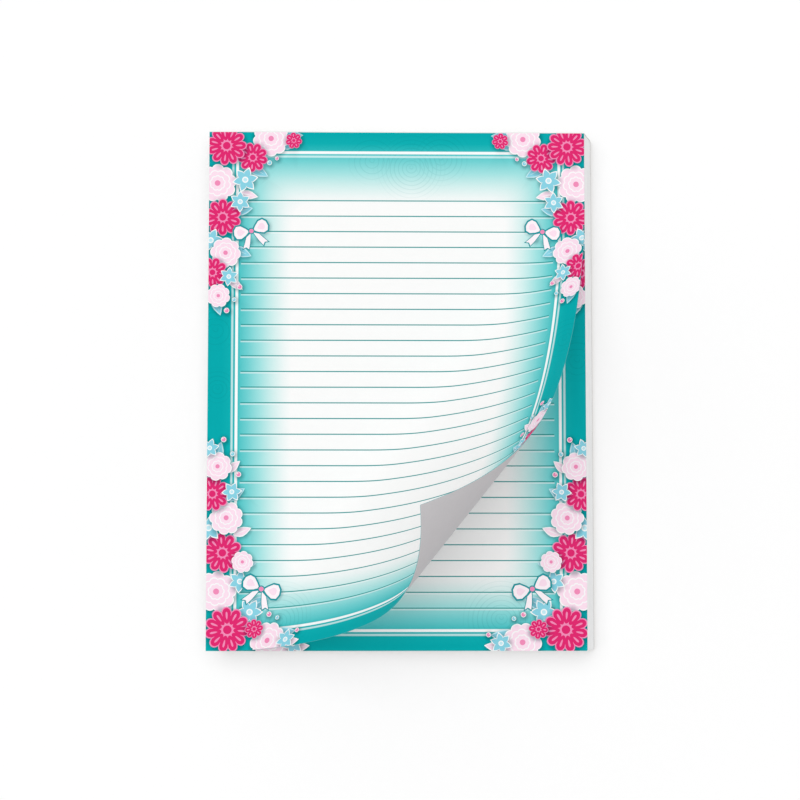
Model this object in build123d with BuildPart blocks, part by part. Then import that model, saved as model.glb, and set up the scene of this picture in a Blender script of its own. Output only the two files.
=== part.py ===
from build123d import *
from itertools import pairwise
from math import ceil, cos, radians, sin, tan
import os

# A glued writing pad: a stack of printed sheets on a greyboard back, held along the upper edge by
# a film of padding glue. It lies on its board. The lower right corner of the top sheet is lifted
# and rolled back towards the middle of the page, so that the sheet's blank underside shows.
#
# The frame, in millimetres: X runs to the right across the page, Y up the page to the glued edge,
# and Z up from the surface that the pad lies on. The origin is at the middle of the underside.

# Driving dimensions of the pad.
page_width = 152.4
page_height = 209.55
sheet_thickness = 0.17
sheet_count = 100
board_thickness = 1.0
glue_film = 0.4
glue_rounding = 0.15

# The pile has slipped a little sideways: its lowest sheet lies this far to the right of the top
# one, so that from above the edges of the lower sheets show along the right side.
sheet_slip = 4.5

# Driving dimensions of the turned corner. Paper bends one way at a time, so the corner rolls up
# along parallel bending lines. They lie square to the direction in which the corner is pulled,
# which points this many degrees below +X. Seen along the bending lines, the sheet lifts off in a
# small arc, bows upwards in a wide one and rolls back in a tighter one, which ends at the tip of
# the corner.
pull_direction = 38.6
lift_radius = 23.0
lift_angle = 35.0
bow_radius = 84.0
bow_angle = 32.5
roll_radius = 45.0
roll_angle = 72.5

# The cut tip of a sheet is never a perfect point, and ends this far short of one.
tip_blunting = 0.2

# The bend between two neighbouring sections of the rolled corner is at most this many degrees.
section_turn = 8.0

# Levels and edges of the pad.
block_bottom = board_thickness
block_top = block_bottom + (sheet_count - 1) * sheet_thickness
pad_top = block_top + sheet_thickness
lower_edge = -(page_height + glue_film) / 2
upper_edge = lower_edge + page_height
page_middle = (lower_edge + upper_edge) / 2

# The slipped pile as a whole is centred on the origin.
board_left = (sheet_slip - page_width) / 2
board_right = board_left + page_width
page_left = board_left - sheet_slip
page_right = board_right - sheet_slip

# Places on the flat page are measured from its lower left corner: "along" goes in the direction of
# the pull, and "across" goes up the bending lines. The corner's tip is the furthest place along,
# and the curl is as long as its three stretches, so it starts that far before the tip.
pull = radians(pull_direction)
along_axis = Vector(cos(pull), -sin(pull), 0)
across_axis = Vector(sin(pull), cos(pull), 0)
page_corner = Vector(page_left, lower_edge, block_top + sheet_thickness / 2)
tip_along = page_width * cos(pull) - tip_blunting
lift_length = lift_radius * radians(lift_angle)
bow_length = bow_radius * radians(bow_angle)
roll_length = roll_radius * radians(roll_angle)
curl_start = tip_along - (lift_length + bow_length + roll_length)

# The back of the pad, of the same size as the sheets.
with BuildPart() as backing_board:
    with BuildSketch():
        with Locations(((board_left + board_right) / 2, page_middle)):
            Rectangle(page_width, page_height)
    extrude(amount=board_thickness)
backing_board.part.label = "backing_board"

# The pile is drawn as seen from its lower edge, on a plane that stands at the glued edge.
glued_plane = Plane.XZ.offset(-upper_edge)

# All the sheets below the top one. They lie tight on each other, each a little to the left of the
# one below it.
with BuildPart() as page_block:
    with BuildSketch(glued_plane):
        Polygon(
            (board_left, block_bottom),
            (board_right, block_bottom),
            (page_right, block_top),
            (page_left, block_top),
            align=None,
        )
    extrude(amount=page_height)
page_block.part.label = "page_block"

# The film of glue was brushed on along the upper edge, from the back of the board to the face of
# the top sheet. Its outer edges are soft, and its flat inner face takes hold of every sheet.
with BuildPart() as gummed_edge:
    with BuildSketch(glued_plane):
        Polygon(
            (board_left, 0),
            (board_right, 0),
            (board_right, board_thickness),
            (page_right, pad_top),
            (page_left, pad_top),
            (board_left, board_thickness),
            align=None,
        )
    extrude(amount=-glue_film)
    outer_face = gummed_edge.faces().sort_by(Axis.Y)[-1]
    fillet(outer_face.edges(), radius=glue_rounding)
gummed_edge.part.label = "gummed_edge"


def bending_line(along):
    """The two ends of a bending line on the flat page, as distances across it."""
    from_left_edge = -along / tan(pull)
    from_lower_edge = along * tan(pull)
    to_right_edge = (page_width - along * cos(pull)) / sin(pull)
    return max(from_left_edge, from_lower_edge), to_right_edge


# The middle of the curled paper, seen along the bending lines, is a chain of tangent arcs.
side_view = Plane(origin=page_corner, x_dir=along_axis, z_dir=-across_axis)
with BuildLine(side_view) as curl_path:
    lift = JernArc((curl_start, 0), (1, 0), lift_radius, lift_angle)
    bow = JernArc(lift @ 1, lift % 1, bow_radius, bow_angle)
    roll = JernArc(bow @ 1, bow % 1, roll_radius, roll_angle)
curl_stretches = [
    (lift, lift_length, lift_angle),
    (bow, bow_length, bow_angle),
    (roll, roll_length, roll_angle),
]

# The top sheet is one piece of paper: flat as far as the first bending line, and from there each
# stretch of the curl is lofted through the sections on its bending lines. Where those lines pass
# the page's lower left corner, the page's outline turns, so a stretch is lofted in two there.
with BuildPart() as top_sheet:
    with BuildSketch(Plane.XY.offset(block_top)):
        with Locations(((page_left + page_right) / 2, page_middle)):
            Rectangle(page_width, page_height)
    extrude(amount=sheet_thickness)
    first_bending_line = Plane(origin=page_corner + along_axis * curl_start, z_dir=along_axis)
    split(bisect_by=first_bending_line, keep=Keep.BOTTOM)
    stretch_start = curl_start
    for path, length, turn in curl_stretches:
        corner_share = -stretch_start / length
        inner_stops = [corner_share] if 0 < corner_share < 1 else []
        for first, last in pairwise([0, *inner_stops, 1]):
            steps = max(1, ceil(turn * (last - first) / section_turn))
            for step in range(steps + 1):
                share = first + (last - first) * step / steps
                ends = bending_line(stretch_start + length * share)
                square_to_paper = Plane(path @ share, x_dir=across_axis, z_dir=path % share)
                with BuildSketch(square_to_paper):
                    with Locations(((ends[0] + ends[1]) / 2, 0)):
                        Rectangle(ends[1] - ends[0], sheet_thickness)
            loft()
        stretch_start += length
top_sheet.part.label = "top_sheet"

os.makedirs("parts", exist_ok=True)
export_step(backing_board.part, "parts/backing_board.step")
export_step(page_block.part, "parts/page_block.step")
export_step(top_sheet.part, "parts/top_sheet.step")
export_step(gummed_edge.part, "parts/gummed_edge.step")
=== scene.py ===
# %% [markdown]
# # A glued writing pad with one corner rolled back
# The pad is a block of about a hundred printed sheets on a greyboard back. Padding glue holds the
# sheets along the top edge, and somebody has lifted the lower right corner of the first sheet.
# This lesson dresses the CAD model of that pad: a stack of loose sheets, one rolled sheet with a
# printed face and a blank underside, a brushed film of glue, paper and board finishes, and light.
# The CAD model comes first, because it fixes every size and place.

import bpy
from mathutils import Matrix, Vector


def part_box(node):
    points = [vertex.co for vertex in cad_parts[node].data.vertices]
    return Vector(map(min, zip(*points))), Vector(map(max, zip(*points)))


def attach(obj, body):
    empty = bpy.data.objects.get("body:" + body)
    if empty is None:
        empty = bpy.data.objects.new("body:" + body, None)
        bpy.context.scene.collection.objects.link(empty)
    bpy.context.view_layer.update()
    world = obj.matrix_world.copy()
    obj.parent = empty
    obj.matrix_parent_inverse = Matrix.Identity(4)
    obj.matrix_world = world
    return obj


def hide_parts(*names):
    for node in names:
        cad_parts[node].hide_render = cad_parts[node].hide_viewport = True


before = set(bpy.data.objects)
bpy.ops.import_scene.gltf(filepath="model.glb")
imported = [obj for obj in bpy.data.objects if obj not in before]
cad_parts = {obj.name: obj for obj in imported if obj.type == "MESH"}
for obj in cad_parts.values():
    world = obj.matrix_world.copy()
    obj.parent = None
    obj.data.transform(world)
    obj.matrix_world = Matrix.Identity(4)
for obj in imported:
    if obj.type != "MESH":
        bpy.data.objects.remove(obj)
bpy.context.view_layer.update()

# %% [markdown]
# ## The camera
# The photograph looks down on the pad from less than a metre above it, a little below its middle,
# so the corner that stands up looks larger than the page beneath it. The place of the camera and
# its focal length were found together with the shape of the roll: they are the ones that bring the
# page's corners, its bent edges and its ruled lines onto their places in the picture.

# %% Place the camera
import bpy
from math import cos, hypot, pi, radians, sin
from mathutils import Vector

scene = bpy.context.scene
camera = bpy.data.objects.new("camera", bpy.data.cameras.new("camera"))
camera.data.lens = 92.58
camera.data.sensor_width = 36.0
camera.location = (-0.01655, -0.0707, 0.8438)
camera.rotation_euler = (radians(4.578), radians(-1.076), radians(0.011))
scene.collection.objects.link(camera)
scene.camera = camera
print("camera at", tuple(round(place, 3) for place in camera.location))

# %% [markdown]
# ## Small helpers for node trees
# Both materials and Geometry Nodes are trees of small steps, and a few helpers keep the lesson
# short. They feed a number or another node's output into an input, add a node, do sums, mix two
# colours, and turn a printer's 0-255 colour into the linear light that a renderer works in.

# %% Helpers for node trees
def feed(tree, socket, value):
    """Link an output into this input, or set a plain value on it."""
    if isinstance(value, bpy.types.NodeSocket):
        tree.links.new(value, socket)
    elif value is not None:
        socket.default_value = value


def step(tree, kind, inputs=None, **settings):
    """Add a node with its settings, and feed its inputs by name or number."""
    made = tree.nodes.new(kind)
    for name, value in settings.items():
        setattr(made, name, value)
    for name, value in (inputs or {}).items():
        feed(tree, made.inputs[name], value)
    return made


def maths(tree, operation, *values):
    """Add a Math node and return its output."""
    made = step(tree, "ShaderNodeMath", dict(enumerate(values)), operation=operation)
    return made.outputs[0]


def times(tree, first, second):
    return maths(tree, "MULTIPLY", first, second)


def plus(tree, first, second):
    return maths(tree, "ADD", first, second)


def minus(tree, first, second):
    return maths(tree, "SUBTRACT", first, second)


def blend_colours(tree, amount, under, over, way="MIX"):
    """Lay one colour over another by an amount from 0 to 1."""
    made = step(tree, "ShaderNodeMix", data_type="RGBA", blend_type=way, clamp_factor=True)
    for socket, value in ((0, amount), (6, under), (7, over)):
        feed(tree, made.inputs[socket], value)
    return made.outputs[2]


def linear(red, green, blue):
    """A colour as it reads on screen, 0 to 255, as linear light with full cover."""
    shares = [part / 255 for part in (red, green, blue)]
    return (*[s / 12.92 if s <= 0.04045 else ((s + 0.055) / 1.055) ** 2.4 for s in shares], 1.0)


def empty_tree(owner):
    """Switch on the nodes of a material or a world, and start without any."""
    owner.use_nodes = True
    owner.node_tree.nodes.clear()
    return owner.node_tree


def new_material(name):
    """A material with its tree, and a Principled shader joined to the output."""
    made = bpy.data.materials.new(name)
    tree = empty_tree(made)
    surface = step(tree, "ShaderNodeBsdfPrincipled")
    output = step(tree, "ShaderNodeOutputMaterial", {"Surface": surface.outputs[0]})
    output.is_active_output = True
    return made, tree, surface


paper_white = (252, 252, 251)
print("white paper is", [round(part, 3) for part in linear(*paper_white)[:3]])

# %% [markdown]
# ## Floor, backdrop and light
# The pad lies on a white table top, and only soft shadows show round it. The floor scatters most of
# the light and adds a little plain white to what the camera sees, so it reads as a white sweep does
# in a studio picture and still keeps the pad's shadow. The world is a soft white room, and one very
# wide sun stands high and a little to the upper left, as a large soft box does. It keeps the rising
# side of the roll white, and lets the sheet behind the roll darken softly towards the fold.

# %% Floor, world and sun
def see_white(tree):
    """1 for rays that see the backdrop itself, by eye, in a gloss or through something."""
    rays = step(tree, "ShaderNodeLightPath").outputs
    mirrored = maths(tree, "MAXIMUM", rays["Is Glossy Ray"], rays["Is Transmission Ray"])
    return maths(tree, "MAXIMUM", rays["Is Camera Ray"], mirrored)


def grey(level):
    return (level, level, level, 1)


def lit_and_seen(tree, lighting, backdrop):
    """One shader for the light that falls on the pad, and another for what is seen behind it."""
    inputs = {0: see_white(tree), 1: lighting.outputs[0], 2: backdrop.outputs[0]}
    return step(tree, "ShaderNodeMixShader", inputs).outputs[0]


floor_size = 3.0
floor_level = -0.0001
floor_mesh = bpy.data.meshes.new("floor")
floor_corners = [(-1, -1), (1, -1), (1, 1), (-1, 1)]
floor_mesh.from_pydata(
    [(x * floor_size, y * floor_size, floor_level) for x, y in floor_corners], [], [(0, 1, 2, 3)]
)
floor = bpy.data.objects.new("floor", floor_mesh)
scene.collection.objects.link(floor)

floor_finish = bpy.data.materials.new("white_table")
tree = empty_tree(floor_finish)
scatter = step(tree, "ShaderNodeBsdfDiffuse", {"Color": grey(0.80)})
shadow = step(tree, "ShaderNodeBsdfDiffuse", {"Color": grey(0.92)})
glow = step(tree, "ShaderNodeEmission", {"Color": grey(1), "Strength": 0.074})
white_sweep = step(tree, "ShaderNodeAddShader", {0: shadow.outputs[0], 1: glow.outputs[0]})
step(tree, "ShaderNodeOutputMaterial", {"Surface": lit_and_seen(tree, scatter, white_sweep)})
floor_mesh.materials.append(floor_finish)

room = bpy.data.worlds.new("soft_room")
scene.world = room
tree = empty_tree(room)
room_light = step(tree, "ShaderNodeBackground", {"Color": grey(1), "Strength": 0.64})
backdrop = step(tree, "ShaderNodeBackground", {"Color": grey(1), "Strength": 1.0})
step(tree, "ShaderNodeOutputWorld", {"Surface": lit_and_seen(tree, room_light, backdrop)})

sun = bpy.data.objects.new("wide_sun", bpy.data.lights.new("wide_sun", "SUN"))
sun.data.energy = 1.19
sun.data.angle = 0.95
towards_sun = Vector((-0.14, 0.12, 1.0)).normalized()
sun.rotation_mode = "QUATERNION"
sun.rotation_quaternion = towards_sun.to_track_quat("Z", "Y")
scene.collection.objects.link(sun)
scene.view_settings.view_transform = "Standard"
print("sun stands", round(towards_sun.z, 2), "high")

# %% [markdown]
# ## The sizes of the pad
# The page is 6 by 8.25 inches. The printed design is laid out on it in millimetres from its lower
# left corner, as a printer would. The sizes of a sheet are those of the CAD model, and the levels
# and places come from the boxes of its nodes.

# %% Sizes, in millimetres
page_width = 152.4
page_height = 209.55
sheet_thickness = 0.17
page_low, page_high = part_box("page_block")
page_corner = Vector((page_low.x, page_low.y, 0)) * 1000
block_bottom = page_low.z * 1000
block_top = page_high.z * 1000
board_low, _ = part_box("backing_board")
sheet_slip = (board_low.x - page_low.x) * 1000


def pile_middle(height):
    """Where the middle of the pile lies sideways at a height, in mm."""
    climbed = (height - block_bottom) / (block_top - block_bottom)
    return sheet_slip * (0.5 - min(max(climbed, 0.0), 1.0))


print("page corner at", [round(c, 2) for c in page_corner.xy], "mm, block", round(block_top, 2),
      "mm high, slipped by", round(sheet_slip, 2), "mm")

# %% [markdown]
# ## Printed motifs
# The print has a teal border, a frame line, ruled lines and flower clusters in the corners. The
# border and the lines are rules, so the material draws them. The flowers are flat fields of ink
# with crisp outlines, and these are drawn as outlines here and cut into the page's own mesh, so
# that they stay sharp at any size. Each motif is a list of outlines, painted one over the other,
# and a few discs that say where it shades the ground beneath it. The design is a made-up garland
# of daisies, scalloped rosettes, star blossoms, leaves, berries and a bow.

# %% Inks and outlines
inks = {
    "cerise": (225, 42, 112),
    "rose": (243, 142, 186),
    "blush": (253, 224, 239),
    "petal_white": (255, 244, 249),
    "sky": (139, 211, 228),
    "ice": (196, 235, 244),
    "white": (252, 252, 252),
    "teal": (30, 150, 158),
}


def around(centre, shape, turn=0.0):
    """Turn and move an outline drawn round the origin."""
    c, s = cos(turn), sin(turn)
    return [(centre[0] + x * c - y * s, centre[1] + x * s + y * c) for x, y in shape]


def disc(radius, points=16):
    """A round outline."""
    return [(radius * cos(2 * pi * i / points), radius * sin(2 * pi * i / points))
            for i in range(points)]


def lobed(radius, lobes, notch, power=2.4, points=8):
    """A flower outline of rounded lobes, with a notch between each two."""
    outline = []
    for i in range(lobes * points):
        swing = abs(2 * ((i / points) % 1) - 1)
        reach = radius * (1 - notch * swing ** power)
        angle = 2 * pi * i / (lobes * points)
        outline.append((reach * cos(angle), reach * sin(angle)))
    return outline


def tongue(start, end, half_width, blunt=0.72):
    """A petal or leaf that points along x, widest at a share of its length."""
    sides = [(0.0, 0.0), (0.10, 0.42), (0.30, 0.80), (blunt, 1.0), (0.90, 0.72), (0.975, 0.36)]
    if blunt < 0.6:
        sides = [(0.0, 0.0), (0.12, 0.46), (0.28, 0.86), (blunt, 1.0), (0.66, 0.80), (0.86, 0.38)]
    length = end - start
    upper = [(start + length * along, half_width * wide) for along, wide in sides]
    lower = [(x, -y) for x, y in upper[1:]]
    return [upper[0], *lower, (end, 0.0), *upper[:0:-1]]


print(len(inks), "inks,", len(lobed(5, 9, 0.2)), "points round a nine-lobed flower")

# %% [markdown]
# A daisy is a lobed rim in the paler ink with a separate petal in every lobe. A rosette is three
# scalloped rings inside each other. A star blossom has pointed petals. Leaves have a rim and a
# vein. The bow has two loops, two tails and a knot.

# %% Motifs
def daisy(centre, radius, petals, turn, rim, body, heart):
    """Slender petals round a raised heart."""
    half = 0.68 * radius * sin(pi / petals)
    shapes = [(around(centre, lobed(radius, petals, 0.20), turn), rim)]
    for i in range(petals):
        heading = turn + 2 * pi * (i + 0.5) / petals
        for start, end, width, ink in ((0.24, 0.945, half, body), (0.44, 0.78, half * 0.24, rim)):
            petal = tongue(radius * start, radius * end, width)
            shapes.append((around(centre, petal, heading), ink))
    shapes.append((around(centre, disc(radius * 0.27, 14), turn), rim))
    shapes.append((around(centre, disc(radius * 0.19, 12), turn), heart))
    return {"shapes": shapes, "discs": [(*centre, radius * 0.94)]}


def rosette(centre, radius, lobes, turn, rim, body, heart):
    """Three scalloped rings of petals inside each other."""
    shapes = []
    for size, shift in ((1.0, 0.0), (0.70, 0.5), (0.42, 0.0)):
        angle = turn + shift * 2 * pi / lobes
        shapes.append((around(centre, lobed(radius * size, lobes, 0.13), angle), rim))
        shapes.append((around(centre, lobed(radius * (size - 0.06), lobes, 0.14), angle), body))
    shapes.append((around(centre, disc(radius * 0.15, 12), turn), heart))
    return {"shapes": shapes, "discs": [(*centre, radius * 0.95)]}


def star_blossom(centre, radius, turn, rim, body, heart):
    """Six pointed petals with a fine rim."""
    shapes = []
    for layer, ink in ((1.0, rim), (0.88, body)):
        for i in range(6):
            heading = turn + 2 * pi * i / 6
            petal = tongue(radius * 0.10, radius * layer, radius * (0.30 * layer - 0.015), 0.5)
            shapes.append((around(centre, petal, heading), ink))
    shapes.append((around(centre, disc(radius * 0.24, 12), turn), rim))
    shapes.append((around(centre, disc(radius * 0.15, 10), turn), heart))
    return {"shapes": shapes, "discs": [(*centre, radius * 0.72)]}


def leaf(centre, length, heading, rim, body):
    """A pointed leaf with a pale rim and vein, rooted at its centre point."""
    shapes = []
    for start, end, width, ink in ((0, 1, 0.24, rim), (0.05, 0.93, 0.185, body),
                                   (0.05, 0.80, 0.022, rim)):
        blade = tongue(length * start, length * end, length * width, 0.45)
        shapes.append((around(centre, blade, heading), ink))
    beads = [(0.3, 0.17), (0.55, 0.19), (0.78, 0.10)]
    spots = around(centre, [(length * along, 0) for along, _ in beads], heading)
    discs = [(*spot, length * radius) for spot, (_, radius) in zip(spots, beads)]
    return {"shapes": shapes, "discs": discs}


def berry(centre, radius, rim, body):
    """A round berry with a small glint."""
    glint = (centre[0] - radius * 0.3, centre[1] + radius * 0.3)
    shapes = [
        (around(centre, disc(radius, 12)), rim),
        (around(centre, disc(radius * 0.78, 12)), body),
        (around(glint, disc(radius * 0.24, 6)), rim),
    ]
    return {"shapes": shapes, "discs": [(*centre, radius)]}


def bow(centre, span, turn, edge, ribbon, lining, knot):
    """A ribbon bow with two round loops, two notched tails and a knot."""
    loop = [(0.0, 0.0), (0.28, -0.20), (0.62, -0.34), (0.90, -0.26), (1.0, 0.02), (0.94, 0.32),
            (0.74, 0.52), (0.46, 0.48), (0.20, 0.24)]
    tail = [(0.0, 0.0), (0.10, -0.30), (0.22, -0.62), (0.40, -0.98), (0.54, -0.80), (0.76, -0.84),
            (0.52, -0.48), (0.34, -0.18)]
    shapes = []
    for part in (tail, loop):
        middle = (sum(x for x, y in part) / len(part), sum(y for x, y in part) / len(part))
        for shrink, ink in ((1.0, edge), (0.80, ribbon), (0.42, lining)):
            if part is tail and ink == lining:
                continue
            inner = [(middle[0] + (x - middle[0]) * shrink, middle[1] + (y - middle[1]) * shrink)
                     for x, y in part]
            for mirror in (1, -1):
                side = [(x * mirror * span / 2, y * span / 2) for x, y in inner]
                shapes.append((around(centre, side, turn), ink))
    shapes.append((around(centre, disc(span * 0.085, 14)), edge))
    shapes.append((around(centre, disc(span * 0.058, 12)), knot))
    beads = [(0.62, 0.08, 0.32), (-0.62, 0.08, 0.32), (0.30, -0.45, 0.14), (-0.30, -0.45, 0.14)]
    spots = around(centre, [(x * span / 2, y * span / 2) for x, y, _ in beads], turn)
    discs = [(*spot, r * span / 2) for spot, (_, _, r) in zip(spots, beads)]
    return {"shapes": shapes, "discs": discs}


def cerise_daisy(place, radius, turn=0.0, petals=10):
    return daisy(place, radius, petals, turn, "rose", "cerise", "cerise")


def blush_rosette(place, radius, turn=0.0, lobes=9):
    return rosette(place, radius, lobes, turn, "white", "blush", "rose")


def sky_star(place, radius, turn=0.0):
    return star_blossom(place, radius, turn, "white", "sky", "ice")


def sky_leaf(place, length, degrees):
    return leaf(place, length, radians(degrees), "ice", "sky")


def blush_leaf(place, length, degrees):
    return leaf(place, length, radians(degrees), "white", "blush")


print("a daisy has", len(cerise_daisy((0, 0), 8)["shapes"]), "fields of ink")

# %% [markdown]
# The garlands run down the two side edges and a little way along the top and bottom. They are
# drawn once for the upper left corner and once for the lower left, with places measured from that
# corner, and mirrored for the right-hand side, as the real print is.

# %% Lay the garlands out
def upper_garland():
    """The upper left garland, from the page's upper left corner, x right and y down."""
    return [
        sky_leaf((27.0, -5.5), 10.0, 8), sky_leaf((16.0, -14.0), 9.0, -28),
        blush_leaf((12.0, -25.0), 8.0, -12), sky_leaf((9.0, -47.5), 9.0, -22),
        sky_leaf((9.5, -33.0), 8.5, 12), blush_leaf((8.0, -60.0), 7.5, -38),
        sky_leaf((2.0, -66.0), 9.5, -72), sky_leaf((30.0, -1.5), 8.0, 2),
        blush_rosette((25.0, -2.6), 7.4, 0.2), cerise_daisy((17.6, -10.4), 6.2, 0.1, 9),
        blush_rosette((3.4, -21.0), 7.8, 0.5), cerise_daisy((7.0, -5.6), 8.2, 0.3, 11),
        sky_star((14.6, -19.6), 5.4, 0.2), cerise_daisy((5.6, -35.0), 7.6, 0.0, 10),
        sky_star((12.6, -28.6), 4.4, 0.5), sky_star((0.8, -44.4), 5.2, 0.1),
        blush_rosette((6.8, -49.5), 6.2, 0.3, 8), cerise_daisy((1.6, -57.5), 6.2, 0.2, 9),
        sky_star((8.2, -59.2), 4.0, 0.4), blush_rosette((4.0, -67.0), 4.8, 0.1, 8),
        cerise_daisy((34.2, -3.4), 3.4, 0.3, 7), berry((12.6, -63.4), 1.1, "white", "rose"),
        berry((10.4, -68.6), 0.9, "white", "sky"), berry((7.4, -73.0), 1.1, "white", "rose"),
        berry((24.4, -12.6), 1.0, "white", "sky"), berry((27.4, -10.8), 0.8, "white", "rose"),
        bow((17.2, -40.6), 15.5, 0.30, "teal", "petal_white", "blush", "rose"),
    ]


def lower_garland():
    """The lower left garland, from the page's lower left corner, x right and y up."""
    return [
        sky_leaf((28.0, 5.5), 11.0, 4), sky_leaf((16.5, 17.0), 10.0, 26),
        sky_leaf((11.0, 33.5), 9.0, 8), blush_leaf((10.5, 46.0), 8.0, 22),
        sky_leaf((7.0, 60.0), 9.5, 30), sky_leaf((3.0, 74.0), 10.0, 74),
        blush_leaf((33.0, 1.0), 8.5, 8), blush_leaf((7.5, 71.0), 7.5, 40),
        blush_rosette((26.0, 3.4), 7.8, 0.1), sky_star((34.6, 3.0), 4.6, 0.3),
        sky_star((17.4, 15.4), 5.6, 0.0), blush_rosette((4.0, 23.6), 8.2, 0.4),
        cerise_daisy((8.6, 8.4), 9.2, 0.2, 11), cerise_daisy((19.6, 8.6), 4.0, 0.5, 8),
        sky_star((13.4, 27.6), 4.8, 0.4), cerise_daisy((6.4, 39.0), 8.0, 0.1, 10),
        blush_rosette((14.4, 35.4), 4.4, 0.2, 8), sky_star((0.8, 49.0), 5.8, 0.2),
        blush_rosette((7.8, 53.0), 6.8, 0.0, 9), cerise_daisy((2.2, 62.6), 7.0, 0.3, 10),
        sky_star((10.0, 63.4), 4.2, 0.1), blush_rosette((4.2, 73.6), 5.8, 0.2, 8),
        sky_star((1.0, 81.0), 4.0, 0.2), berry((12.6, 70.4), 1.1, "white", "rose"),
        berry((10.2, 78.6), 1.0, "white", "sky"), berry((6.6, 84.4), 1.1, "white", "rose"),
        berry((25.6, 14.4), 1.1, "white", "rose"), berry((29.4, 12.8), 0.9, "white", "sky"),
        berry((39.6, 6.4), 1.0, "white", "rose"),
        bow((22.0, 24.6), 17.0, -0.36, "teal", "petal_white", "blush", "rose"),
    ]


def moved(motif, corner_height, mirror):
    """Put a garland's motif on the page, mirrored for the right-hand side."""
    def place(x, y):
        return (page_width - x if mirror else x, corner_height + y)

    shapes = [([place(x, y) for x, y in outline], ink) for outline, ink in motif["shapes"]]
    discs = [(*place(x, y), radius) for x, y, radius in motif["discs"]]
    return {"shapes": shapes, "discs": discs}


motifs = []
for mirror in (False, True):
    motifs += [moved(motif, page_height, mirror) for motif in upper_garland()]
    motifs += [moved(motif, 0.0, mirror) for motif in lower_garland()]
print(len(motifs), "motifs with", sum(len(m["shapes"]) for m in motifs), "fields of ink")

# %% [markdown]
# ## Cut the print into the page
# A constrained Delaunay triangulation takes all outlines at once and returns triangles that never
# cross one, with a list of the outlines that each triangle lies in. The last one painted gives the
# ink. Extra points are scattered where the paper will bend and where a motif shades the ground,
# because the bend needs short edges and the shade is stored on corners and runs evenly between.

# %% Scatter points over the page
import numpy as np

pull = radians(38.6)
tip_blunting = 0.2
tip_along = page_width * cos(pull) - tip_blunting
row_share = 0.866
flat_margin = 3.0


def spaced(gap, keep):
    """Points of a triangular lattice over the page that pass a test, a little inside its edges."""
    points = []
    rows = int(page_height / (gap * row_share))
    columns = int(page_width / gap)
    for row in range(1, rows):
        for column in range(1, columns):
            x = (column + 0.5 * (row % 2) - 0.25) * page_width / columns
            y = row * page_height / rows
            if keep(x, y):
                points.append((x, y))
    return points


discs = np.array([(*spot, index) for index, motif in enumerate(motifs)
                  for spot in motif["discs"]])


def clearance(x, y):
    """How far a place on the page is from the nearest motif's discs, in mm."""
    return float(np.min(np.hypot(discs[:, 0] - x, discs[:, 1] - y) - discs[:, 2]))


def bends(x, y):
    """True where the page is rolled, or just about to."""
    return x * cos(pull) - y * sin(pull) > -flat_margin


shade_reach = 1.9
bend_points = spaced(2.2, lambda x, y: bends(x, y) and clearance(x, y) > shade_reach + 0.6)
shade_points = spaced(0.95, lambda x, y: 0.25 < clearance(x, y) < shade_reach + 0.5)
plain_points = spaced(9.0, lambda x, y: not bends(x, y) and clearance(x, y) > 4.5)
print(len(bend_points), "points for the bend,", len(shade_points), "for the shade,",
      len(plain_points), "elsewhere")

# %% Cut the outlines into triangles
from mathutils.geometry import delaunay_2d_cdt


def edge_points(gap):
    """Points round the page's edge, counter-clockwise, with the tip as blunt as the CAD model's."""
    before_tip, past_tip = (tip_along / cos(pull), 0), (page_width, tip_blunting / sin(pull))
    corners = [(0, 0), before_tip, past_tip, (page_width, page_height), (0, page_height)]
    points = []
    for (x0, y0), (x1, y1) in zip(corners, corners[1:] + corners[:1]):
        count = max(1, round(hypot(x1 - x0, y1 - y0) / gap))
        points += [(x0 + (x1 - x0) * i / count, y0 + (y1 - y0) * i / count) for i in range(count)]
    return points


def counter_clockwise(outline):
    """The outline in the order that the triangulation needs for a filled face."""
    area = sum(x0 * y1 - x1 * y0 for (x0, y0), (x1, y1) in zip(outline, outline[1:] + outline[:1]))
    return outline if area > 0 else outline[::-1]


def touches_page(outline):
    xs, ys = [x for x, y in outline], [y for x, y in outline]
    return max(xs) > 0 and min(xs) < page_width and max(ys) > 0 and min(ys) < page_height


def triangulate(outlines, loose_points):
    """Points, triangles, and for each triangle the outlines that it lies in."""
    points, faces = [], []
    for outline in outlines:
        faces.append(list(range(len(points), len(points) + len(outline))))
        points += counter_clockwise(outline)
    points += loose_points
    found = delaunay_2d_cdt([Vector(p) for p in points], [], faces, 0, 1e-4, True)
    places = np.array([tuple(p) for p in found[0]])
    inside = [sorted(owners) for owners in found[5]]
    kept = [i for i, owners in enumerate(inside) if owners and owners[0] == 0]
    triangles = np.array([found[2][i] for i in kept])
    used = np.unique(triangles)
    renumber = np.full(len(places), -1)
    renumber[used] = np.arange(len(used))
    return places[used], renumber[triangles], [inside[i][-1] for i in kept]


fields = [(outline, ink, index) for index, motif in enumerate(motifs)
          for outline, ink in motif["shapes"] if touches_page(outline)]
page_outline = edge_points(2.2)
face_points, face_triangles, topmost = triangulate(
    [page_outline] + [outline for outline, ink, index in fields],
    bend_points + shade_points + plain_points,
)
print(len(face_points), "points and", len(face_triangles), "triangles on the printed face")

# %% [markdown]
# Every corner of every triangle now gets its ink and its shade. The ink's alpha says whether there
# is a motif at all. A motif shades only what lies under it, a little to the lower right.

# %% Ink and shade for each corner
shade_shift = np.array([0.25, -0.45])
corner_ink = np.zeros((len(face_triangles), 3, 4))
owner = np.full(len(face_triangles), -1)
for row, top in enumerate(topmost):
    if top > 0:
        corner_ink[row, :] = linear(*inks[fields[top - 1][1]])
        owner[row] = fields[top - 1][2]

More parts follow.
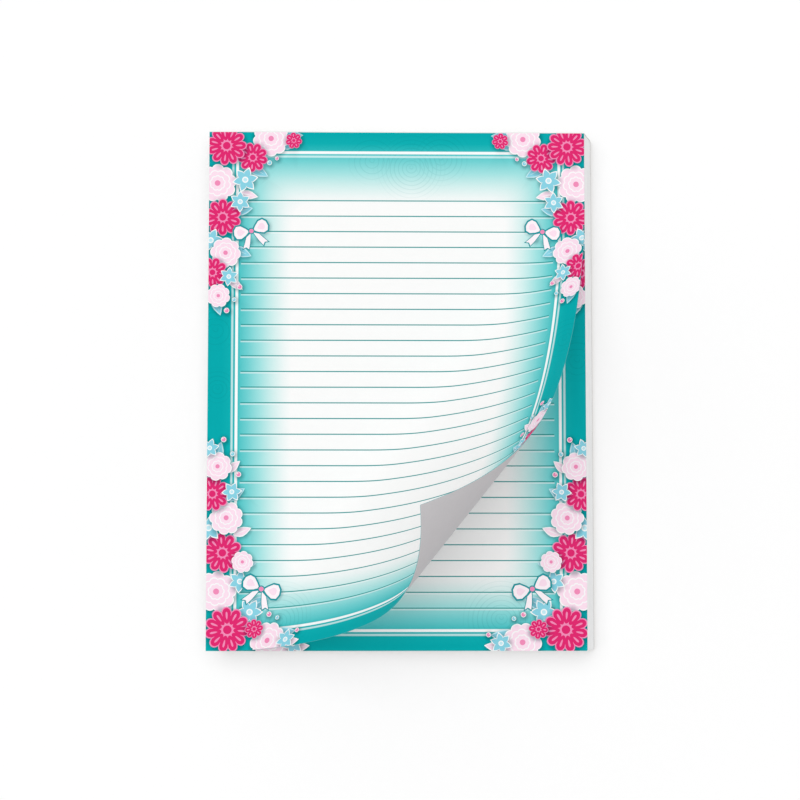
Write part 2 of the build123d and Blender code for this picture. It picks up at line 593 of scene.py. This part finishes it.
corner_places = face_points[face_triangles]
corner_shade = np.zeros(corner_places.shape[:2])
for x, y, radius, index in discs:
    away = np.linalg.norm(corner_places - shade_shift - (x, y), axis=2) - radius
    depth = np.clip(1 - away / shade_reach, 0, 1) ** 1.6
    depth[owner >= index] = 0
    corner_shade = np.maximum(corner_shade, depth)
print("inked share of the page:", round(float(np.mean(owner >= 0)), 2), "of the triangles")

# %% [markdown]
# ## Build the closed sheet
# Paper has two faces and a cut edge. The printed face is the triangulated page. The underside is
# blank, so it gets a lighter mesh of its own with the same points along its edge, and a strip of
# faces joins the two. The sheet is built flat, at its place on top of the block.

# %% Build a flat sheet with a printed face
def edge_order(places, triangles):
    """The points round the page's edge, counter-clockwise from its lower left corner.

    A side that only one triangle has lies on the edge, and each leads on to the next.
    """
    sides = {(int(a), int(b)) for corners in triangles
             for a, b in zip(corners, np.roll(corners, -1))}
    following = {a: b for a, b in sides if (b, a) not in sides}
    first = min(following, key=lambda i: sum(places[i]))
    order = [first]
    while following[order[-1]] != first:
        order.append(following[order[-1]])
    return order


printed, blank, cut = 0, 1, 2
face_rim = edge_order(face_points, face_triangles)
under_points, under_triangles, _ = triangulate(
    [[tuple(face_points[i]) for i in face_rim]],
    spaced(2.4, bends) + spaced(12.0, lambda x, y: not bends(x, y)),
)
under_rim = edge_order(under_points, under_triangles)
assert len(under_rim) == len(face_rim), (len(under_rim), len(face_rim))


def store(mesh, name, kind, domain, values):
    """Keep an array on the mesh as a named attribute."""
    field = {"FLOAT_COLOR": "color", "FLOAT_VECTOR": "vector"}.get(kind, "value")
    number = {"INT": np.int32, "BOOLEAN": bool}.get(kind, np.float32)
    mesh.attributes.new(name, kind, domain).data.foreach_set(field, values.astype(number).ravel())


def read(items, name, number, width=1):
    """One property of many mesh items, as an array."""
    values = np.zeros(len(items) * width, number)
    items.foreach_get(name, values)
    return values


def flat_sheet(name, low, high):
    """A closed sheet between two levels, with its print on the upper face."""
    count = len(face_points)
    places = [(*(page_corner.xy + Vector(p)), high) for p in face_points]
    places += [(*(page_corner.xy + Vector(p)), low) for p in under_points]
    faces = [tuple(triangle) for triangle in face_triangles]
    faces += [tuple(triangle[::-1] + count) for triangle in under_triangles]
    for i in range(len(face_rim)):
        j = (i + 1) % len(face_rim)
        faces.append((face_rim[j], face_rim[i], under_rim[i] + count, under_rim[j] + count))
    mesh = bpy.data.meshes.new(name)
    mesh.from_pydata([tuple(c / 1000 for c in place) for place in places], [], faces)
    mesh.materials.append(printed_face)
    mesh.update()

    kinds = np.repeat([printed, blank, cut],
                      [len(face_triangles), len(under_triangles), len(face_rim)])
    printed_corners = len(face_triangles) * 3
    ink = np.zeros((len(mesh.loops), 4))
    ink[:printed_corners] = corner_ink.reshape(-1, 4)
    shade = np.zeros(len(mesh.loops))
    shade[:printed_corners] = corner_shade.ravel()
    store(mesh, "paper_side", "INT", "FACE", kinds)
    store(mesh, "ink", "FLOAT_COLOR", "CORNER", ink)
    store(mesh, "ink_shade", "FLOAT", "CORNER", shade)

    page_map = mesh.uv_layers.new(name="page")
    where = read(mesh.vertices, "co", np.float64, 3).reshape(-1, 3)
    vertex_of = read(mesh.loops, "vertex_index", np.int32)
    flat = where[vertex_of][:, :2] * 1000 - np.array(page_corner.xy)
    page_map.data.foreach_set("uv", (flat / (page_width, page_height)).astype(np.float32).ravel())
    made = bpy.data.objects.new(name, mesh)
    scene.collection.objects.link(made)
    return made


print("the underside has", len(under_triangles), "triangles and", len(under_rim), "edge points")

# %% [markdown]
# ## The printed finish
# The material reads the sheet's own page map, turned into millimetres, so the border, the frame
# lines and the ruling follow the paper round the bend. The colour runs from teal at the border to
# white in the middle, as an airbrush would lay it, by the distance from a frame whose corners are
# eased with a smooth maximum.

# %% Distances on the page
def page_millimetres(tree):
    """Where a point lies on the flat page, in mm from its lower left corner."""
    page_map = step(tree, "ShaderNodeUVMap", uv_map="page")
    parts = step(tree, "ShaderNodeSeparateXYZ", {0: page_map.outputs[0]})
    return (times(tree, parts.outputs[0], page_width),
            times(tree, parts.outputs[1], page_height))


def remap(tree, value, low, high, at_low=0.0, at_high=1.0):
    """Carry a range of values evenly over to another, and hold still past both ends."""
    inputs = {0: value, 1: low, 2: high, 3: at_low, 4: at_high}
    return step(tree, "ShaderNodeMapRange", inputs).outputs[0]


def outside_range(tree, value, low, high):
    """How far outside a range a value lies, and less than 0 inside it."""
    away = maths(tree, "ABSOLUTE", minus(tree, value, (low + high) / 2))
    return minus(tree, away, (high - low) / 2)


def outside_rectangle(tree, x, y, left, right, low, high, ease=0.0):
    """How far outside a rectangle a place lies, in mm, and less than 0 inside it."""
    sideways, upwards = outside_range(tree, x, left, right), outside_range(tree, y, low, high)
    if ease:
        return maths(tree, "SMOOTH_MAX", sideways, upwards, ease)
    return maths(tree, "MAXIMUM", sideways, upwards)


def line_at(tree, distance, half_width, softness=0.10):
    """1 on a line where the distance is near 0, and 0 away from it."""
    away = maths(tree, "ABSOLUTE", distance)
    return remap(tree, away, half_width - softness, half_width + softness, 1.0, 0.0)


def fade(tree, distance, stops):
    """A run of colours over a distance in mm."""
    first, last = stops[0][0], stops[-1][0]
    made = step(tree, "ShaderNodeValToRGB", {0: remap(tree, distance, first, last)})
    ramp = made.color_ramp
    ramp.elements.remove(ramp.elements[1])
    ramp.elements[0].position = 0.0
    ramp.elements[0].color = linear(*stops[0][1])
    for place, colour in stops[1:]:
        ramp.elements.new((place - first) / (last - first)).color = linear(*colour)
    return made.outputs[0]


fade_stops = [
    (-7.0, (1, 170, 174)), (-3.6, (10, 175, 178)), (-1.2, (40, 184, 186)), (0.4, (84, 198, 200)),
    (3.5, (114, 210, 211)), (8.5, (164, 227, 226)), (14.0, (214, 241, 239)),
    (18.0, (240, 248, 247)), (21.0, paper_white),
]
print("the fade runs over", fade_stops[-1][0] - fade_stops[0][0], "mm")

# %% [markdown]
# The stops of the fade are inks: deep teal on the border, a lighter teal beside the frame, and
# clear white about twenty millimetres inside it. The ruling is 27 thin lines a quarter of an inch
# apart, each with a light line under it. Faint rings in the border are the only ornament that the
# material draws. The printed face is a little smoother than the blank back of the sheet.

# %% The printed face
first_ruling = 181.46
ruling_gap = 6.327
ruling_count = 27
ruling_middle = 76.35
ruling_half_length = 62.95
light_line_drop = 0.55
fade_frame = (12.6, 141.0, 9.4, 201.2)
soft_frame = (9.75, 143.75, 6.35, 199.55)
bright_frame = (11.5, 142.04, 8.07, 201.2)
ring_places = [
    ((82, 196), 1.7, 17), ((94, 200), 2.1, 14), ((3, 130), 2.6, 12), ((30, 12), 1.9, 18),
    ((118, 14), 1.9, 18), ((149, 118), 2.6, 12), ((4, 106), 1.8, 9), ((66, 199), 2.3, 12),
]
highlight = linear(252, 254, 254)


def rings(tree, x, y, centre, spacing, reach):
    """Faint rings round a centre, which die out at a reach."""
    sideways, upwards = minus(tree, x, centre[0]), minus(tree, y, centre[1])
    turned = maths(tree, "ARCTAN2", upwards, sideways)
    swirl = times(tree, maths(tree, "SINE", turned), spacing * 0.8)
    squares = plus(tree, times(tree, sideways, sideways), times(tree, upwards, upwards))
    away = maths(tree, "SQRT", squares)
    phase = maths(tree, "PINGPONG", plus(tree, away, swirl), spacing / 2)
    strength = remap(tree, away, reach * 0.55, reach, 1.0, 0.0)
    return times(tree, line_at(tree, phase, 0.16, 0.12), strength)


printed_face, tree, surface = new_material("printed_face")
x, y = page_millimetres(tree)
inwards = times(tree, outside_rectangle(tree, x, y, *fade_frame, ease=14.0), -1.0)
colour = fade(tree, inwards, fade_stops)

ornament = 0.0
for centre, spacing, reach in ring_places:
    ornament = maths(tree, "MAXIMUM", ornament, rings(tree, x, y, centre, spacing, reach))
colour = blend_colours(tree, times(tree, ornament, 0.16), colour, linear(40, 160, 165), "MULTIPLY")

soft_line = line_at(tree, outside_rectangle(tree, x, y, *soft_frame), 0.42, 0.14)
colour = blend_colours(tree, times(tree, soft_line, 0.62), colour, linear(236, 255, 255))
bright_line = line_at(tree, outside_rectangle(tree, x, y, *bright_frame), 0.56, 0.12)
colour = blend_colours(tree, bright_line, colour, highlight)

ruling = maths(tree, "DIVIDE", minus(tree, first_ruling, y), ruling_gap)
nearest = maths(tree, "MAXIMUM", maths(tree, "ROUND", ruling), 0)
nearest = maths(tree, "MINIMUM", nearest, ruling_count - 1)
below = times(tree, minus(tree, ruling, nearest), ruling_gap)
sideways = maths(tree, "ABSOLUTE", minus(tree, x, ruling_middle))
past_end = minus(tree, sideways, ruling_half_length)
off_light_line = maths(tree, "ABSOLUTE", minus(tree, below, light_line_drop))
light_line = line_at(tree, maths(tree, "MAXIMUM", off_light_line, past_end), 0.30)
colour = blend_colours(tree, times(tree, light_line, 0.45), colour, highlight)
off_dark_line = maths(tree, "ABSOLUTE", below)
dark_line = line_at(tree, maths(tree, "MAXIMUM", off_dark_line, past_end), 0.22, 0.05)
colour = blend_colours(tree, dark_line, colour, linear(40, 152, 150))

ink = step(tree, "ShaderNodeAttribute", attribute_name="ink")
colour = blend_colours(tree, ink.outputs["Alpha"], colour, ink.outputs["Color"])
shade = step(tree, "ShaderNodeAttribute", attribute_name="ink_shade").outputs["Fac"]
colour = blend_colours(tree, times(tree, shade, 0.62), colour, linear(96, 130, 138), "MULTIPLY")
print("the ruling covers", round((ruling_count - 1) * ruling_gap, 1), "mm of the page")

# %% [markdown]
# All paper on the pad shares one grain: fine fibres that vary its whiteness by a percent or two
# and lift its surface by a few thousandths of a millimetre.

# %% Paper grain
def noise_over(tree, scale, detail, roughness=0.5, distortion=0.0, stretch=(1, 1, 1)):
    """Soft random values over the object, whose place can be stretched first."""
    place = step(tree, "ShaderNodeTexCoord").outputs["Object"]
    if stretch != (1, 1, 1):
        place = step(tree, "ShaderNodeMapping", {"Vector": place, "Scale": stretch}).outputs[0]
    return step(tree, "ShaderNodeTexNoise", {
        "Vector": place, "Scale": scale, "Detail": detail, "Roughness": roughness,
        "Distortion": distortion}).outputs[0]


def relief(tree, height, strength, depth):
    """A bump from a height, with its depth in metres."""
    inputs = {"Height": height, "Strength": strength, "Distance": depth}
    return step(tree, "ShaderNodeBump", inputs).outputs[0]


def finish_surface(tree, surface, colour, bump, roughness, gloss=None):
    """Give a Principled shader its colour, relief, roughness and gloss."""
    for name, value in (("Base Color", colour), ("Normal", bump), ("Roughness", roughness),
                        ("Specular IOR Level", gloss)):
        feed(tree, surface.inputs[name], value)


def paper_grain(tree, colour, depth=1.0, cloud=0.05):
    """The colour with fibre clouds in it, and a bump for the same fibres."""
    fibres = noise_over(tree, 1600.0, 4.0, 0.65)
    clouds = noise_over(tree, 210.0, 3.0, 0.55)
    mottle = plus(tree, times(tree, fibres, 0.6), times(tree, clouds, 0.4))
    mottle = remap(tree, mottle, 0.3, 0.7, 0.0, cloud)
    colour = blend_colours(tree, mottle, colour, linear(188, 192, 194), "MULTIPLY")
    return colour, relief(tree, fibres, 0.22 * depth, 0.00003)


finish_surface(tree, surface, *paper_grain(tree, colour), roughness=0.60, gloss=0.03)
print("printed face has", len(tree.nodes), "nodes")

# %% [markdown]
# The back of a sheet is bare paper, a little rougher and greyer than the face, and its grey is
# deepened further with painted shade, standing for the shade on the back of the lifted corner. The
# sides of the pad are cut paper, and the sheets show there as fine level streaks, so that noise is
# stretched flat. The thin cut edge of a printed sheet takes on the border's colour, which runs off
# the page.

# %% Blank underside and cut edges
blank_underside, tree, surface = new_material("blank_underside")
# Painted shade: this grey is darker than bare paper would be, to stand for the shade on the rolled
# corner's back.
underside_grey_and_painted_shade = paper_grain(tree, linear(203, 200, 202), 1.4, 0.10)
finish_surface(tree, surface, *underside_grey_and_painted_shade, roughness=0.68, gloss=0.25)

cut_edge, tree, surface = new_material("cut_edge")
streaks = noise_over(tree, 1.0, 3.0, 0.6, stretch=(60.0, 60.0, 9000.0))
streaks = remap(tree, streaks, 0.3, 0.7, 0.0, 0.30)
colour = blend_colours(tree, streaks, linear(252, 252, 252), linear(202, 204, 206), "MULTIPLY")
finish_surface(tree, surface, *paper_grain(tree, colour, 2.0, 0.10), roughness=0.75, gloss=0.2)

inked_edge, tree, surface = new_material("inked_edge")
inked_paper = paper_grain(tree, linear(92, 184, 186), 1.0, 0.30)
finish_surface(tree, surface, *inked_paper, roughness=0.75, gloss=0.1)
print("paper finishes:", blank_underside.name, cut_edge.name, inked_edge.name)

# %% [markdown]
# ## Roll the corner with Geometry Nodes
# Paper bends one way at a time, so the lifted corner is part of a cylinder-like surface: every
# point keeps its place along the straight bending lines and moves only square to them, on a curve
# made of arcs. That is a rule, so a Geometry Nodes tree does it. A small group bends one stretch:
# it takes how far along the sheet a point is, and returns how far that stretch carries it forwards
# and up, from the chord of its arc. Three stretches in a row give the whole roll.

# %% A node group that bends one stretch
def new_tree(name, inputs, outputs):
    """A Geometry Nodes group with named inputs and outputs."""
    made = bpy.data.node_groups.new(name, "GeometryNodeTree")
    for title, kind, value in inputs:
        socket = made.interface.new_socket(title, in_out="INPUT", socket_type=kind)
        if value is not None:
            socket.default_value = value
    for title, kind in outputs:
        made.interface.new_socket(title, in_out="OUTPUT", socket_type=kind)
    return made, made.nodes.new("NodeGroupInput").outputs, made.nodes.new("NodeGroupOutput")


NUMBER, GEOMETRY = "NodeSocketFloat", "NodeSocketGeometry"
bend_stretch, given, result = new_tree(
    "bend_one_stretch",
    [("Along", NUMBER, 0.0), ("Start", NUMBER, 0.0), ("Length", NUMBER, 0.03),
     ("Curvature", NUMBER, 0.0), ("Slope", NUMBER, 0.0)],
    [("Forwards", NUMBER), ("Up", NUMBER), ("Turn", NUMBER)],
)
tree = bend_stretch
covered = maths(tree, "MAXIMUM", minus(tree, given["Along"], given["Start"]), 0.0)
covered = maths(tree, "MINIMUM", covered, given["Length"])
turn = times(tree, covered, given["Curvature"])
half_turn = maths(tree, "DIVIDE", turn, 2.0)
divisor = maths(tree, "MAXIMUM", half_turn, 0.0001)
shortened = maths(tree, "DIVIDE", maths(tree, "SINE", divisor), divisor)
chord = times(tree, covered, shortened)
heading = plus(tree, given["Slope"], half_turn)
feed(tree, result.inputs["Forwards"], times(tree, chord, maths(tree, "COSINE", heading)))
feed(tree, result.inputs["Up"], times(tree, chord, maths(tree, "SINE", heading)))
feed(tree, result.inputs["Turn"], turn)
print(bend_stretch.name, "has", len(bend_stretch.nodes), "nodes")

# %% [markdown]
# The main tree measures each point from the page's lower left corner, along the pull and across
# it, adds up the three stretches, and sets the point's new place. Its height above the middle of
# the paper turns with the slope, so the sheet keeps its thickness. It stores the slope as well,
# for the shading later, and gives the printed face, the underside and the edge their materials.
# The slope is stored before the points move, because a field is worked out anew at every node that
# reads it, and after the move it would be measured from the wrong places.

# %% The tree that rolls the corner
curl = [("Lift", 23.0, 35.0), ("Bow", 84.0, 32.5), ("Roll", 45.0, 72.5)]
curl_lengths = [radius * radians(turn) for _, radius, turn in curl]
curl_start = tip_along - sum(curl_lengths)

roll_corner, given, result = new_tree(
    "roll_the_corner",
    [("Sheet", GEOMETRY, None), ("Page Corner", "NodeSocketVector", None),
     ("Pull Direction", NUMBER, pull), ("Curl Start", NUMBER, 0.0)]
    + [(f"{name} Length", NUMBER, 0.03) for name, _, _ in curl]
    + [(f"{name} Turn", NUMBER, 0.0) for name, _, _ in curl],
    [("Sheet", GEOMETRY)],
)
tree = roll_corner
corner = given["Page Corner"]
position = step(tree, "GeometryNodeInputPosition").outputs[0]
offset = step(tree, "ShaderNodeVectorMath", {0: position, 1: corner}, operation="SUBTRACT")
flat_x, flat_y, depth = step(tree, "ShaderNodeSeparateXYZ", {0: offset.outputs[0]}).outputs
cosine = maths(tree, "COSINE", given["Pull Direction"])
sine = maths(tree, "SINE", given["Pull Direction"])
along = minus(tree, times(tree, flat_x, cosine), times(tree, flat_y, sine))
across = plus(tree, times(tree, flat_x, sine), times(tree, flat_y, cosine))

forwards = maths(tree, "MINIMUM", along, given["Curl Start"])
up, slope, slope_before, start = 0.0, 0.0, 0.0, given["Curl Start"]
for name, _, _ in curl:
    length, full_turn = given[f"{name} Length"], given[f"{name} Turn"]
    bent = step(tree, "GeometryNodeGroup", node_tree=bend_stretch)
    for title, value in (("Along", along), ("Start", start), ("Length", length),
                         ("Curvature", maths(tree, "DIVIDE", full_turn, length)),
                         ("Slope", slope_before)):
        feed(tree, bent.inputs[title], value)
    forwards = plus(tree, forwards, bent.outputs["Forwards"])
    up = plus(tree, up, bent.outputs["Up"])
    slope = plus(tree, slope, bent.outputs["Turn"])
    slope_before = plus(tree, slope_before, full_turn)
    start = plus(tree, start, length)

forwards = minus(tree, forwards, times(tree, maths(tree, "SINE", slope), depth))
up = plus(tree, up, times(tree, maths(tree, "COSINE", slope), depth))
new_x = plus(tree, times(tree, forwards, cosine), times(tree, across, sine))
new_y = minus(tree, times(tree, across, cosine), times(tree, forwards, sine))
rolled = step(tree, "ShaderNodeCombineXYZ", {0: new_x, 1: new_y, 2: up}).outputs[0]
rolled = step(tree, "ShaderNodeVectorMath", {0: rolled, 1: corner}, operation="ADD").outputs[0]
stored = step(tree, "GeometryNodeStoreNamedAttribute",
              {"Geometry": given["Sheet"], "Name": "slope", "Value": slope},
              data_type="FLOAT", domain="POINT").outputs[0]
placed = step(tree, "GeometryNodeSetPosition", {"Geometry": stored, "Position": rolled})
geometry = step(tree, "GeometryNodeRealizeInstances", {0: placed.outputs[0]}).outputs[0]
side = step(tree, "GeometryNodeInputNamedAttribute", {"Name": "paper_side"},
            data_type="INT").outputs[0]
for kind, finish in ((printed, printed_face), (blank, blank_underside), (cut, inked_edge)):
    same = step(tree, "FunctionNodeCompare", data_type="INT", operation="EQUAL")
    feed(tree, same.inputs[2], side)
    feed(tree, same.inputs[3], kind)
    inputs = {"Geometry": geometry, "Selection": same.outputs[0], "Material": finish}
    geometry = step(tree, "GeometryNodeSetMaterial", inputs).outputs[0]
feed(tree, result.inputs["Sheet"], geometry)
print(roll_corner.name, "has", len(roll_corner.nodes), "nodes; the curl starts",
      round(curl_start, 3), "mm along")

# %% [markdown]
# The tree runs as a modifier on the flat sheet. Its inputs are set by their sockets' identifiers
# before anything is evaluated, and the finished shape is turned into a plain mesh. The same tree
# with all turns at zero would leave a sheet flat, which is what the next sheet down uses.

# %% Run a tree and keep its result
def run_tree(piece, tree, values):
    """Run a Geometry Nodes tree on a piece with its inputs set by name, and keep the mesh."""
    identifiers = {item.name: item.identifier for item in tree.interface.items_tree
                   if item.item_type == "SOCKET" and item.in_out == "INPUT"}
    modifier = piece.modifiers.new(tree.name, "NODES")
    modifier.node_group = tree
    for title, value in values.items():
        modifier[identifiers[title]] = value
    bpy.context.view_layer.update()
    view = bpy.context.evaluated_depsgraph_get()
    mesh = bpy.data.meshes.new_from_object(
        piece.evaluated_get(view), preserve_all_data_layers=True, depsgraph=view)
    piece.modifiers.remove(modifier)
    piece.data = mesh
    mesh.name = piece.name
    return mesh


paper_middle = block_top + sheet_thickness / 2
sheet_values = {
    "Page Corner": [c / 1000 for c in (page_corner.x, page_corner.y, paper_middle)],
    "Pull Direction": pull,
    "Curl Start": curl_start / 1000,
}
for (name, _, turn), length in zip(curl, curl_lengths):
    sheet_values[f"{name} Length"] = length / 1000
    sheet_values[f"{name} Turn"] = radians(turn)
rolled_sheet = flat_sheet("rolled_sheet", block_top, block_top + sheet_thickness)
rolled_mesh = run_tree(rolled_sheet, roll_corner, sheet_values)
highest = max(v.co.z for v in rolled_mesh.vertices) * 1000
print("rolled sheet reaches", round(highest, 2), "mm; finishes",
      [m.name for m in rolled_mesh.materials])

# %% [markdown]
# Triangles of many sizes meet on the printed face, and normals averaged from them would mottle the
# bend. The slope that the tree stored gives the true normal instead, so each corner gets that one,
# and the edges of the cut are marked sharp, so that the two faces don't share normals with it.

# %% True normals on the bent paper
def true_normals(mesh):
    """Give each corner the normal that the rule of the bend has there."""
    slopes = read(mesh.attributes["slope"].data, "value", np.float32)
    kinds = read(mesh.attributes["paper_side"].data, "value", np.int32)
    face_normals = read(mesh.polygons, "normal", np.float32, 3).reshape(-1, 3)
    corners = read(mesh.polygons, "loop_total", np.int32)
    face_of = np.repeat(np.arange(len(mesh.polygons)), corners)
    angle = slopes[read(mesh.loops, "vertex_index", np.int32)]
    up_way = np.stack([-np.sin(angle) * cos(pull), np.sin(angle) * sin(pull), np.cos(angle)], 1)
    flip = np.where(kinds[face_of] == blank, -1.0, 1.0)[:, None]
    on_cut = kinds[face_of] == cut
    normals = np.where(on_cut[:, None], face_normals[face_of], up_way * flip)
    sharp = np.zeros(len(mesh.edges), bool)
    sharp[read(mesh.loops, "edge_index", np.int32)[on_cut]] = True
    store(mesh, "sharp_edge", "BOOLEAN", "EDGE", sharp)
    mesh.polygons.foreach_set("use_smooth", np.ones(len(mesh.polygons), bool))
    store(mesh, "custom_normal", "FLOAT_VECTOR", "CORNER", normals)
    mesh.update()


true_normals(rolled_mesh)
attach(rolled_sheet, "root")
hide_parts("top_sheet")
print("custom normals:", rolled_mesh.has_custom_normals)

# %% [markdown]
# ## The next sheet
# Where the corner is lifted the same print shows on the sheet below. It is the same flat sheet one
# level down, run through the same tree with no turns.

# %% The next sheet down
air_gap = 0.005
next_sheet = flat_sheet("next_sheet", block_top - sheet_thickness, block_top - air_gap)
next_values = dict(sheet_values)
for name, _, _ in curl:
    next_values[f"{name} Turn"] = 0.0
true_normals(run_tree(next_sheet, roll_corner, next_values))
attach(next_sheet, "root")
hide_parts("page_block")
print("next sheet lies between", round(block_top - sheet_thickness, 2), "and", block_top)

# %% [markdown]
# ## The stack of sheets
# A padded block is cut with one stroke of a guillotine, so its sheets are all of one size, and this
# pile has slipped a little to the right on its way down. What shows on the sides is a fine uneven
# ladder of paper edges. Ninety-eight sheets that differ only in their shift are a job for
# instances: a slanted line of points, one sheet on each, and a seeded random shift.

# %% A tree that stacks the sheets
stack_sheets, given, result = new_tree(
    "stack_the_sheets",
    [("Sheets", "NodeSocketInt", 98), ("Pitch", NUMBER, 0.00017), ("Slip per Sheet", NUMBER, 0.0),
     ("Sheet Size", "NodeSocketVector", None), ("Lowest Sheet", "NodeSocketVector", None),
     ("Uneven Cut", NUMBER, 0.00005), ("Seed", "NodeSocketInt", 4)],
    [("Stack", GEOMETRY)],
)
tree = stack_sheets
rise = step(tree, "ShaderNodeCombineXYZ", {0: given["Slip per Sheet"], 2: given["Pitch"]})
levels = step(tree, "GeometryNodeMeshLine", {
    "Count": given["Sheets"], "Start Location": given["Lowest Sheet"], "Offset": rise.outputs[0]})
one_sheet = step(tree, "GeometryNodeMeshCube", {"Size": given["Sheet Size"]})
stacked = step(tree, "GeometryNodeInstanceOnPoints",
               {"Points": levels.outputs[0], "Instance": one_sheet.outputs[0]})
most = step(tree, "ShaderNodeCombineXYZ", {0: given["Uneven Cut"], 1: given["Uneven Cut"]})
least = step(tree, "ShaderNodeVectorMath", {0: most.outputs[0], 3: -1.0}, operation="SCALE")
shift = step(tree, "FunctionNodeRandomValue", {0: least.outputs[0], 1: most.outputs[0],
                                               "Seed": given["Seed"]}, data_type="FLOAT_VECTOR")
shifted = step(tree, "GeometryNodeTranslateInstances", {
    "Instances": stacked.outputs[0], "Translation": shift.outputs[0], "Local Space": False})
solid = step(tree, "GeometryNodeRealizeInstances", {0: shifted.outputs[0]})
finished = step(tree, "GeometryNodeSetMaterial",
                {"Geometry": solid.outputs[0], "Material": cut_edge})
feed(tree, result.inputs["Stack"], finished.outputs[0])
print(stack_sheets.name, "has", len(stack_sheets.nodes), "nodes")

# %% Stack the sheets
plain_sheets = 98
uneven_cut = 0.1
page_middle = (page_corner.y + page_height / 2) / 1000
lowest_level = block_bottom + sheet_thickness / 2
sheet_stack = bpy.data.objects.new("sheet_stack", bpy.data.meshes.new("sheet_stack"))
scene.collection.objects.link(sheet_stack)
run_tree(sheet_stack, stack_sheets, {
    "Sheets": plain_sheets,
    "Pitch": sheet_thickness / 1000,
    "Slip per Sheet": -sheet_slip / 1000 * sheet_thickness / (block_top - block_bottom),
    "Sheet Size": [(page_width - 2 * uneven_cut) / 1000, (page_height - 2 * uneven_cut) / 1000,
                   (sheet_thickness - air_gap) / 1000],
    "Lowest Sheet": [pile_middle(lowest_level) / 1000, page_middle, lowest_level / 1000],
    "Uneven Cut": uneven_cut / 1000,
    "Seed": 4,
})
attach(sheet_stack, "root")
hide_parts("page_block")
print("stack has", len(sheet_stack.data.polygons), "faces")

# %% [markdown]
# ## The film of glue
# Padding glue is brushed on in two or three coats and dries to a thin, slightly wavy white skin
# with soft edges. A cross-section with rounded corners is carried along the top edge, and gentle
# noise moves its outer side in a little, so it stays inside the CAD film.

# %% The brushed film
import bmesh
from mathutils import noise

film_low, film_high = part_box("gummed_edge")
stations = 120
section_rows = 30
soft_corner = 0.12
inner_share = 0.45
end_taper = 0.06
sharpest_smooth_edge = radians(50)


def film_section(x):
    """The film's outline at one place along the edge, as (outwards, up) in mm."""
    top = (film_high.z - film_low.z) * 1000
    full = (film_high.y - film_low.y) * 1000
    outline = [(0.0, top), (full * inner_share, top)]
    for row in range(section_rows + 1):
        height = top - soft_corner - (top - 2 * soft_corner) * row / section_rows
        brushed = noise.noise(Vector((x * 0.11, height * 1.3, 2.0)))
        coat = noise.noise(Vector((x * 0.021, height * 0.16, 7.0)))
        outline.append((full * (0.86 + 0.08 * brushed + 0.06 * coat), height))
    outline += [(full * inner_share, 0.0), (0.0, 0.0)]
    return outline


film_places, film_faces = [], []
for station in range(stations + 1):
    x = page_width * (station / stations - 0.5)
    full_share = 1 - (end_taper if station in (0, stations) else 0.0)
    for outwards, height in film_section(x):
        y = film_low.y * 1000 + outwards * full_share
        film_places.append((x + pile_middle(height), y, height))
ring = len(film_section(0.0))
for station in range(stations):
    for i in range(ring):
        j = (i + 1) % ring
        a, b = station * ring, (station + 1) * ring
        film_faces.append((a + i, a + j, b + j, b + i))
film_faces.append(tuple(range(ring))[::-1])
film_faces.append(tuple(range(stations * ring, (stations + 1) * ring)))
film_mesh = bpy.data.meshes.new("glue_film")
film_mesh.from_pydata([tuple(c / 1000 for c in place) for place in film_places], [], film_faces)
film_mesh.polygons.foreach_set("use_smooth", np.ones(len(film_mesh.polygons), bool))
glue_film = bpy.data.objects.new("glue_film", film_mesh)
scene.collection.objects.link(glue_film)

skin = bmesh.new()
skin.from_mesh(film_mesh)
bmesh.ops.recalc_face_normals(skin, faces=skin.faces)
for edge in skin.edges:
    edge.smooth = len(edge.link_faces) == 2 and edge.calc_face_angle(0) < sharpest_smooth_edge
skin.to_mesh(film_mesh)
volume = skin.calc_volume(signed=True) * 1e9
skin.free()
print("the film has", len(film_mesh.polygons), "faces")

# %% [markdown]
# Dried glue is milky, uneven in tone, and smoother where the brush has drawn it out. One noise,
# stretched along the edge as the brush went, makes both the strokes and their gloss.

# %% The dried glue
dried_glue, tree, surface = new_material("dried_glue")
strokes = noise_over(tree, 1.0, 4.0, 0.6, stretch=(120.0, 900.0, 1500.0))
milky = remap(tree, noise_over(tree, 90.0, 3.0), 0.3, 0.7, 0.0, 0.5)
colour = blend_colours(tree, milky, linear(238, 239, 238), linear(224, 223, 216))
finish_surface(tree, surface, colour, relief(tree, strokes, 0.35, 0.00008),
               roughness=remap(tree, strokes, 0.3, 0.7, 0.30, 0.46))
film_mesh.materials.append(dried_glue)
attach(glue_film, "root")
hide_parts("gummed_edge")
print("glue film holds", round(volume), "cubic mm")

# %% [markdown]
# ## Greyboard
# The back is a millimetre of greyboard, pressed from waste paper. It is grey-brown with darker and
# lighter fibre flecks, and its cut edge is matt. The CAD node already has the right shape, so it
# only gets a finish.

# %% The greyboard finish
greyboard, tree, surface = new_material("greyboard")
pulp = noise_over(tree, 420.0, 5.0, 0.7)
share = remap(tree, pulp, 0.3, 0.7)
colour = blend_colours(tree, share, linear(150, 143, 132), linear(183, 177, 166))
flecks = noise_over(tree, 1300.0, 2.0, distortion=1.2)
dark, pale = remap(tree, flecks, 0.64, 0.70), remap(tree, flecks, 0.36, 0.30)
colour = blend_colours(tree, times(tree, dark, 0.6), colour, linear(96, 88, 80))
colour = blend_colours(tree, times(tree, pale, 0.5), colour, linear(214, 209, 200))
finish_surface(tree, surface, colour, relief(tree, pulp, 0.5, 0.00008), roughness=0.88, gloss=0.2)
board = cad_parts["backing_board"]
board.data.materials.clear()
board.data.materials.append(greyboard)
print("board finish on", board.name)
